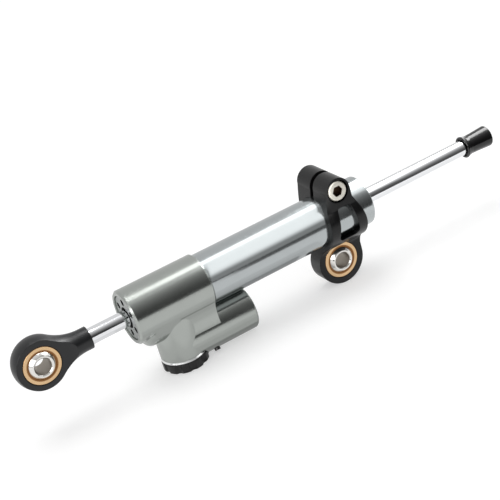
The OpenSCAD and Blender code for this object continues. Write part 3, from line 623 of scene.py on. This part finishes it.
class DAMPER_OT_finish_inside(bpy.types.Operator):
    """Finish the bushes, seals, springs and bands."""

    bl_idname = "damper.finish_inside"
    bl_label = "Finish the inner pieces"

    def execute(self, context):
        colours = context.scene.damper_colours
        gloss = context.scene.damper_gloss

        # Sintered bronze bush, porous and oily, so dull with dark specks of 0.3 mm.
        bush = made_surface(
            "bronze_sintered_bush", colours.bush, metallic=1.0,
            roughness=0.4, rough_spread=0.1, marks_mm=(0.3, 0.3, 0.3), depth_mm=0.01,
            tone=0.15, cloud_mm=0.6, edge=gloss.edge)
        finish_nodes(["front_bush", "rear_bush"], bush)

        # Nitrile rubber, moulded. Matt black with a faint sheen from oil. The mould's grain is
        # about 0.1 mm wide and is drawn at 0.4 mm.
        seal = made_surface(
            "rubber_nitrile_seal", colours.seal, metallic=0.0,
            roughness=0.45, rough_spread=0.06, marks_mm=(0.4, 0.4, 0.4), tone=0.1,
            edge=gloss.edge)
        finish_nodes([
            "front_wiper", "rear_wiper", "front_rod_seal", "rear_rod_seal",
            "front_gland_oring", "rear_gland_oring", "tube_oring", "spindle_oring",
            "needle_oring", "reservoir_cap_oring", "floating_piston_oring"], seal)

        # Fluoropolymer band filled with bronze powder. Brown, with a waxy shine. The grains are
        # about 0.05 mm wide and are drawn at 0.3 mm.
        band = made_surface(
            "fluoropolymer_bronze_filled", colours.band, metallic=0.0,
            roughness=0.4, rough_spread=0.05, marks_mm=(0.3, 0.3, 0.3), tone=0.15,
            cloud_mm=0.8, edge=gloss.edge)
        finish_nodes(["piston_band"], band)

        # Spring wire, drawn and oiled, so grey with a soft shine. The drawing marks are too
        # fine to see and are drawn at 0.5 mm.
        wire = made_surface(
            "steel_spring_wire_oiled", colours.wire, metallic=1.0,
            roughness=0.28, rough_spread=0.05, marks_mm=(0.5, 0.5, 0.5), tone=0.05,
            edge=gloss.edge)
        finish_nodes(["click_spring", "reservoir_spring"], wire)
        self.free_spring()
        return {"FINISHED"}

    def free_spring(self):
        """The same spring as a separate piece with its own mesh, on the housing, in place of the
        part's own.
        """
        node = NODES["reservoir_spring"]
        spring = bpy.data.objects.new("reservoir_spring_turns", node.data.copy())
        spring.matrix_world = node.matrix_world
        bpy.context.scene.collection.objects.link(spring)
        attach(spring, "housing")
        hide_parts("reservoir_spring")
        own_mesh(spring)


class DAMPER_OT_set_studio(bpy.types.Operator):
    """Set the pale floor, the soft light, the cards that the metal mirrors and the camera."""

    bl_idname = "damper.set_studio"
    bl_label = "Set the studio"

    def execute(self, context):
        studio = context.scene.damper_studio
        self.set_view(context)
        self.set_room(context, studio)
        self.set_floor(context, studio)
        self.set_key(context, studio)
        self.set_overhead_boxes(studio)
        self.set_floor_cards()
        self.set_front_box(studio)
        self.set_front_screens(studio)
        self.set_side_boxes()
        self.set_far_screens()
        self.set_camera(context)
        return {"FINISHED"}

    def set_view(self, context):
        """Colours leave the scene as they are written."""
        context.scene.view_settings.view_transform = "Standard"

    def set_room(self, context, studio):
        """White for the eye, pale for metal, and soft grey light for everything else."""
        world = bpy.data.worlds.new("pale_room")
        world.use_nodes = True
        tree = world.node_tree
        path = add_node(tree, "ShaderNodeLightPath")
        level = add_node(tree, "ShaderNodeMix", {"data_type": "FLOAT"}, {
            "Factor": mirror_share(tree, path), "A": studio.room_level,
            "B": studio.backdrop_level})
        shown = add_node(tree, "ShaderNodeMix", {"data_type": "FLOAT"}, {
            "Factor": path.outputs["Is Camera Ray"], "A": level.outputs["Result"], "B": 1.0})
        background = tree.nodes["Background"]
        background.inputs["Color"].default_value = WHITE
        tree.links.new(shown.outputs["Result"], background.inputs["Strength"])
        context.scene.world = world

    def set_floor(self, context, studio):
        """White uncoated paper, matt. Its faint grain is drawn at 2 mm, coarser than it is.

        It glows a little for the camera and for metal, and keeps the shadow.
        """
        half = studio.floor_size / 2
        height = GROUND - PAPER_GAP
        mesh = bpy.data.meshes.new("paper_floor")
        mesh.from_pydata([(-half, -half, height), (half, -half, height), (half, half, height),
                          (-half, half, height)], [], [(0, 1, 2, 3)])
        floor = bpy.data.objects.new("paper_floor", mesh)
        context.scene.collection.objects.link(floor)

        paper = bpy.data.materials.new("paper_white_seamless")
        paper.use_nodes = True
        tree = paper.node_tree
        shader = tree.nodes["Principled BSDF"]
        shader.inputs["Roughness"].default_value = 0.9
        shader.inputs["Specular IOR Level"].default_value = 0.2
        shader.inputs["Emission Color"].default_value = WHITE
        darker, paler = (0.69, 0.69, 0.69), (0.71, 0.71, 0.71)
        place = add_node(tree, "ShaderNodeTexCoord")
        fibre = add_node(tree, "ShaderNodeTexNoise", {}, {
            "Vector": place.outputs["Object"], "Scale": cells_per_metre(2.0), "Detail": 2.0})
        tint = add_node(tree, "ShaderNodeValToRGB", {}, {"Fac": fibre.outputs["Fac"]})
        set_stops(tint, [(NOISE_LOW, darker), (NOISE_HIGH, paler)])
        tree.links.new(tint.outputs["Color"], shader.inputs["Base Color"])

        path = add_node(tree, "ShaderNodeLightPath")
        seen = add_node(tree, "ShaderNodeMath", {"operation": "MAXIMUM"}, {
            0: path.outputs["Is Camera Ray"], 1: mirror_share(tree, path)})
        glow = add_node(tree, "ShaderNodeMath", {"operation": "MULTIPLY"}, {
            0: seen.outputs["Value"], 1: studio.paper_glow})
        tree.links.new(glow.outputs["Value"], shader.inputs["Emission Strength"])
        mesh.materials.append(paper)

    def set_key(self, context, studio):
        """One wide lamp from above and slightly behind, so the shadow falls to the front."""
        data = bpy.data.lights.new("overhead_lamp", "SUN")
        data.energy = studio.key_level * math.pi
        data.angle = studio.key_width
        lamp = bpy.data.objects.new("overhead_lamp", data)
        lamp.rotation_euler = (-studio.key_lean, 0.0, 0.0)
        lamp.visible_glossy = False
        context.scene.collection.objects.link(lamp)

    def set_overhead_boxes(self, studio):
        """Boxes overhead, side by side. They draw the pale bands along the tops."""
        eye_left, fill_left, box_left, box_right = 0.010, 0.112, 0.156, 0.345
        height = studio.box_height
        level_card("overhead_box", left=box_left, right=box_right, front=-0.056, back=0.062,
                   back_right=0.135, height=height, level=studio.box_level)
        level_card("overhead_box_end", left=box_right, right=0.70, front=-0.056, back=0.26,
                   height=height, level=studio.box_level)
        level_card("overhead_fill", left=fill_left, right=box_left, front=-0.060, back=0.11,
                   height=height, level=studio.fill_level)
        level_card("eye_box", left=eye_left, right=fill_left, front=-0.060, back=0.11,
                   height=height, level=studio.eye_box_level)
        level_card("stop_box", left=0.38, right=0.80, front=-0.07, back=0.26,
                   height=0.99 * height, level=studio.stop_box_level)

    def set_floor_cards(self):
        """Cards on the paper that metal mirrors. Most are painted shadow of the head, darker near
        the middle.

        They lie between the paper and the damper, each a hair above the one before it.
        """
        # Every row but floor_front, floor_left and floor_behind is painted shadow, darkest where
        # the damper nearly touches.
        cards = (
            # name, left, right, front, back, level
            ("floor_front", -0.050, 0.200, -0.320, 0.030, 0.97),
            ("floor_shaded", 0.030, 0.160, -0.036, 0.030, 0.82),
            ("floor_painted_shadow_under", 0.045, 0.150, -0.022, 0.025, 0.72),
            ("floor_left", -0.300, -0.020, -0.150, 0.050, 1.0),
            ("floor_painted_shade_by_gland", 0.005, 0.040, 0.030, 0.100, 0.55),
            ("floor_painted_contact_shadow", 0.060, 0.145, -0.012, 0.016, 0.4),
            ("floor_behind", -1.200, 1.500, 0.075, 2.400, 0.8),
        )
        for order, (name, left, right, front, back, level) in enumerate(cards, start=1):
            height = GROUND - PAPER_GAP * (1 - order / len(cards))
            level_card(name, left, right, front, back, height, level)

    def set_front_box(self, studio):
        """A bright box close in front of the tube. It leans to the right and dims at its foot."""
        outline_mm = ((87.5, 3), (92, 21), (95, 33), (105.5, 69), (138, 170), (157, 230),
                      (255, 230), (225, 170), (183, 75), (166, 35), (160, 22), (156, 3))
        front = -18 * MM
        window = studio.window_level
        levels_mm = ((3, 0.38), (6.6, 0.4), (8.4, 0.9), (10.7, 0.9 * window), (14.4, window),
                     (230, window))
        emission_card("front_box", [(x * MM, front, z * MM) for x, z in outline_mm],
                      [(height * MM, level) for height, level in levels_mm])

    def set_front_screens(self, studio):
        """Dark screens in front, joined as one folded wall. Each is paler towards its top."""
        top = studio.screen_height
        folds = ((0.085, -0.197), (0.150, -0.162), (0.212, -0.1285), (0.258, -0.1036),
                 (0.400, -0.027))
        screens = (
            ("left_screen", -0.012,
             [(-0.01, 0.06), (0.028, 0.07), (0.069, 0.11), (0.115, 0.18), (0.173, 0.27),
              (0.253, 0.42), (0.385, 0.62), (top, 0.75)]),
            ("middle_screen", GROUND,
             [(GROUND, 0.12), (0.03, 0.14), (0.115, 0.18), (0.173, 0.28), (0.253, 0.45),
              (0.385, 0.7), (top, 0.78)]),
            ("tube_screen", GROUND,
             [(GROUND, 0.07), (0.0, 0.08), (0.019, 0.1), (0.044, 0.15), (0.072, 0.22),
              (0.106, 0.36), (0.151, 0.55), (0.19, 1.2), (0.25, 1.7), (top, 2.2)]),
            ("rod_screen", GROUND,
             [(GROUND, 0.08), (0.0, 0.09), (0.017, 0.12), (0.038, 0.2), (0.062, 0.33),
              (0.092, 0.5), (0.131, 0.85), (0.165, 1.25), (0.218, 1.7), (0.341, 2.2),
              (top, 2.2)]),
        )
        for start, end, (name, bottom, levels) in zip(folds, folds[1:], screens):
            upright_card(name, start, end, bottom, top, levels)

    def set_side_boxes(self):
        """Even boxes at the sides, which light the edges that face left and right."""
        boxes = (
            # name, start, end, bottom, top, level
            ("left_strip", (-0.42, -0.55), (-0.05, -0.55), 0.0, 0.12, 2.0),
            ("left_box", (-0.75, -0.05), (-0.35, -0.75), 0.15, 0.75, 4.0),
            ("right_strip", (0.9, 0.1), (0.9, 0.8), GROUND, 0.3, 3.0),
        )
        for name, start, end, bottom, top, level in boxes:
            upright_card(name, start, end, bottom, top, [(bottom, level)])

    def set_far_screens(self):
        """Dark screens farther in front. The right one has a pale foot, as the paper has."""
        front, top = -0.6, 1.6
        left, seam, right = -0.8, 0.195, 0.4
        upper = [(0.084, 0.04), (0.218, 0.07), (0.4, 0.18), (0.6, 0.35), (0.885, 0.55),
                 (top, 0.78)]
        upright_card("far_screen_left", (left, front), (seam, front), GROUND, top,
                     [(GROUND, 0.03), *upper])
        upright_card("far_screen", (seam, front), (right, front), GROUND, top,
                     [(GROUND, 0.8), (0.02, 0.8), (0.035, 0.03), *upper])

    def set_camera(self, context):
        """The photograph's own view: a long lens from the front left and above.

        The camera starts by looking straight down and is turned about X, Y and Z in that order.
        """
        place = Vector((-0.10066, -0.52478, 0.27978))
        turns = (62.977, 14.896, -29.747)
        data = bpy.data.cameras.new("camera")
        data.sensor_width = 36.0
        data.lens = 94.604
        data.clip_start = 0.01
        data.clip_end = 20.0
        camera = bpy.data.objects.new("camera", data)
        turned = Euler([math.radians(degrees) for degrees in turns])
        camera.matrix_world = Matrix.LocRotScale(place, turned, None)
        context.scene.collection.objects.link(camera)
        context.scene.camera = camera


class DAMPER_PT_panel(bpy.types.Panel):
    """Colours, gloss and studio of the damper, and the steps that set them."""

    bl_label = "Steering damper"
    bl_idname = "DAMPER_PT_panel"
    bl_space_type = "VIEW_3D"
    bl_region_type = "UI"
    bl_category = "Damper"

    def draw(self, context):
        layout = self.layout
        for group in (context.scene.damper_colours, context.scene.damper_gloss,
                      context.scene.damper_studio):
            column = layout.column(align=True)
            for name in group.__annotations__:
                column.prop(group, name)
        for operator in STEPS:
            layout.operator(operator.bl_idname)


STEPS = (
    DAMPER_OT_finish_head,
    DAMPER_OT_finish_tube_and_rod,
    DAMPER_OT_finish_eye_and_clamp,
    DAMPER_OT_finish_adjuster,
    DAMPER_OT_finish_inside,
    DAMPER_OT_set_studio,
)
CLASSES = (DamperColours, DamperGloss, DamperStudio, *STEPS, DAMPER_PT_panel)


def register():
    for item in CLASSES:
        bpy.utils.register_class(item)
    bpy.types.Scene.damper_colours = bpy.props.PointerProperty(type=DamperColours)
    bpy.types.Scene.damper_gloss = bpy.props.PointerProperty(type=DamperGloss)
    bpy.types.Scene.damper_studio = bpy.props.PointerProperty(type=DamperStudio)


def unregister():
    del bpy.types.Scene.damper_studio
    del bpy.types.Scene.damper_gloss
    del bpy.types.Scene.damper_colours
    for item in reversed(CLASSES):
        bpy.utils.unregister_class(item)


def main():
    register()
    bpy.ops.damper.finish_head()
    bpy.ops.damper.finish_tube_and_rod()
    bpy.ops.damper.finish_eye_and_clamp()
    bpy.ops.damper.finish_adjuster()
    bpy.ops.damper.finish_inside()
    bpy.ops.damper.set_studio()


if __name__ == "__main__":
    main()
